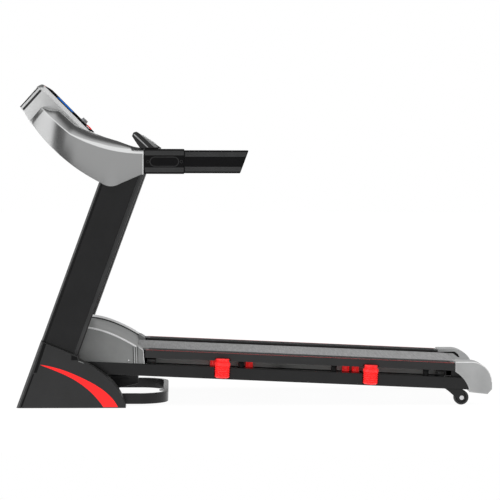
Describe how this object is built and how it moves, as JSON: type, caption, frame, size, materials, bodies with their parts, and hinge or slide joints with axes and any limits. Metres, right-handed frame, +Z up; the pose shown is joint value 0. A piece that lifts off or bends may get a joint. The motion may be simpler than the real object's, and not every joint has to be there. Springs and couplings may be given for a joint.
{
  "type": "folding treadmill",
  "caption": "Folding motorised treadmill with a sloping deck, leaning uprights, curved arms, handrails, a tilted console and side dampers.",
  "frame": {"origin": "centre of the footprint at floor height", "axes": "+X along the deck towards its rear end, +Y to the walker's right, +Z up"},
  "size_m": [1.919, 0.8516, 1.294],
  "materials": {
    "black_shell": "fine texture",
    "red_trim": "gloss",
    "black_steel": "powder coat",
    "silver_shell": "satin silver lacquer",
    "grey_shell": "fine texture",
    "pale_shell": "satin",
    "cap_shell": "satin",
    "black_grip": "soft",
    "foot_rubber": "matte",
    "red_rubber": "satin",
    "belt_cover": "woven pattern",
    "board_wood": "waxed dark laminate",
    "bright_steel": "brushed",
    "sensor_steel": "polished",
    "panel_black": "gloss",
    "screen_glass": "lit blue",
    "key_plastic": "satin",
    "knob_grey": "satin",
    "motor_paint": "semi-gloss",
    "pulley_iron": "machined",
    "wheel_tyre": "matte",
    "strut_paint": "gloss",
    "board_green": "satin"
  },
  "bodies": {
    "base": {"base_frame": "black_steel", "floor_loop": "black_steel", "base_feet": "foot_rubber", "base_cover_left": "black_shell", "base_cover_right": "black_shell", "cover_stripes": "red_trim", "upright_left": "black_steel", "upright_right": "black_steel", "fold_pins": "bright_steel", "arm_left": "silver_shell", "arm_right": "silver_shell", "handrail_tubes": "black_steel", "handrail_sleeve_left": "black_shell", "handrail_sleeve_right": "black_shell", "handrail_grip_left": "black_grip", "handrail_grip_right": "black_grip", "pulse_bar": "black_shell", "pulse_plates": "sensor_steel", "console_bracket": "black_steel", "console_back": "pale_shell", "console_bezel": "pale_shell", "console_panel": "panel_black", "display_lens": "screen_glass", "circuit_board": "board_green"},
    "deck": {"deck_beam_left": "black_steel", "deck_beam_right": "black_steel", "cross_tubes": "black_steel", "side_dampers": "red_rubber", "board_cushions": "red_rubber", "roller_axles": "bright_steel", "drive_motor": "motor_paint", "motor_pan": "black_steel", "power_inlet": "panel_black", "controller_box": "motor_paint", "motor_hood": "grey_shell", "hood_corners": "grey_shell", "rear_cap_left": "cap_shell", "rear_cap_right": "cap_shell", "wheel_brackets": "black_steel", "wheel_bolts": "bright_steel", "walking_belt": "belt_cover", "drive_belt": "foot_rubber"},
    "running_deck": {"side_rail_left": "black_shell", "side_rail_right": "black_shell", "running_board": "board_wood"},
    "front_roller": {"front_roller": "bright_steel", "roller_pulley": "pulley_iron"},
    "rear_roller": {"rear_roller": "bright_steel"},
    "motor_shaft": {"motor_shaft": "pulley_iron"},
    "wheel_left": {"rear_wheel_left": "wheel_tyre"},
    "wheel_right": {"rear_wheel_right": "wheel_tyre"},
    "strut_cylinder": {"strut_cylinder": "strut_paint"},
    "strut_rod": {"strut_rod": "bright_steel"},
    "power_switch": {"power_switch": "red_trim"},
    "speed_knob": {"speed_knob": "knob_grey"},
    "start_key": {"start_key": "key_plastic"},
    "stop_key": {"stop_key": "key_plastic"},
    "mode_key": {"mode_key": "key_plastic"},
    "program_key": {"program_key": "key_plastic"},
    "safety_key": {"safety_key": "red_trim"}
  },
  "joints": [
    {"name": "deck_fold", "type": "hinge", "parent": "base", "child": "deck", "pos_m": [-0.68, 0, 0.15], "axis": [0, -1, 0], "range_deg": [0, 67]},
    {"name": "deck_cushion", "type": "slide", "parent": "deck", "child": "running_deck", "axis": [0.0436, 0, 0.999], "range_m": [-0.005, 0], "stiffness_N_per_m": 150000, "springref_m": 0.002, "deforming": ["side_dampers", "board_cushions"]},
    {"name": "front_roller_spin", "type": "hinge", "parent": "deck", "child": "front_roller", "pos_m": [-0.54609, 0, 0.19301], "axis": [0, 1, 0], "continuous": true},
    {"name": "rear_roller_spin", "type": "hinge", "parent": "deck", "child": "rear_roller", "pos_m": [0.83259, 0, 0.13281], "axis": [0, 1, 0], "continuous": true},
    {"name": "motor_spin", "type": "hinge", "parent": "deck", "child": "motor_shaft", "pos_m": [-0.69152, 0, 0.18635], "axis": [0, 1, 0], "continuous": true},
    {"name": "wheel_left_spin", "type": "hinge", "parent": "deck", "child": "wheel_left", "pos_m": [0.836, 0, 0.03], "axis": [0, 1, 0], "continuous": true},
    {"name": "wheel_right_spin", "type": "hinge", "parent": "deck", "child": "wheel_right", "pos_m": [0.836, 0, 0.03], "axis": [0, 1, 0], "continuous": true},
    {"name": "strut_swing", "type": "hinge", "parent": "base", "child": "strut_cylinder", "pos_m": [-0.585, 0, 0.098], "axis": [0, -1, 0], "range_deg": [0, 71.92]},
    {"name": "strut_extend", "type": "slide", "parent": "strut_cylinder", "child": "strut_rod", "axis": [0.999, 0, 0.0453], "range_m": [0, 0.1105]},
    {"name": "power_switch_rock", "type": "hinge", "parent": "deck", "child": "power_switch", "pos_m": [-0.78388, 0, 0.15735], "axis": [0, 1, 0], "range_deg": [-8, 8]},
    {"name": "speed_knob_turn", "type": "hinge", "parent": "base", "child": "speed_knob", "pos_m": [-0.71009, 0, 1.14692], "axis": [0.7071, 0, 0.7071], "continuous": true},
    {"name": "start_key_press", "type": "slide", "parent": "base", "child": "start_key", "axis": [-0.7071, 0, -0.7071], "range_m": [0, 0.0015], "stiffness_N_per_m": 800, "springref_m": -0.001},
    {"name": "stop_key_press", "type": "slide", "parent": "base", "child": "stop_key", "axis": [-0.7071, 0, -0.7071], "range_m": [0, 0.0015], "stiffness_N_per_m": 800, "springref_m": -0.001},
    {"name": "mode_key_press", "type": "slide", "parent": "base", "child": "mode_key", "axis": [-0.7071, 0, -0.7071], "range_m": [0, 0.0015], "stiffness_N_per_m": 800, "springref_m": -0.001},
    {"name": "program_key_press", "type": "slide", "parent": "base", "child": "program_key", "axis": [-0.7071, 0, -0.7071], "range_m": [0, 0.0015], "stiffness_N_per_m": 800, "springref_m": -0.001},
    {"name": "safety_key_pull", "type": "slide", "parent": "base", "child": "safety_key", "axis": [0.7071, 0, 0.7071], "range_m": [0, 0.02]}
  ],
  "couplings": [
    {"joint": "rear_roller_spin", "follows": "front_roller_spin", "ratio": 1},
    {"joint": "motor_spin", "follows": "front_roller_spin", "ratio": 2.25},
    {"joint": "strut_swing", "follows": "deck_fold", "ratio": 1.0732},
    {"joint": "strut_extend", "follows": "deck_fold", "m_per_rad": 0.094362}
  ]
}
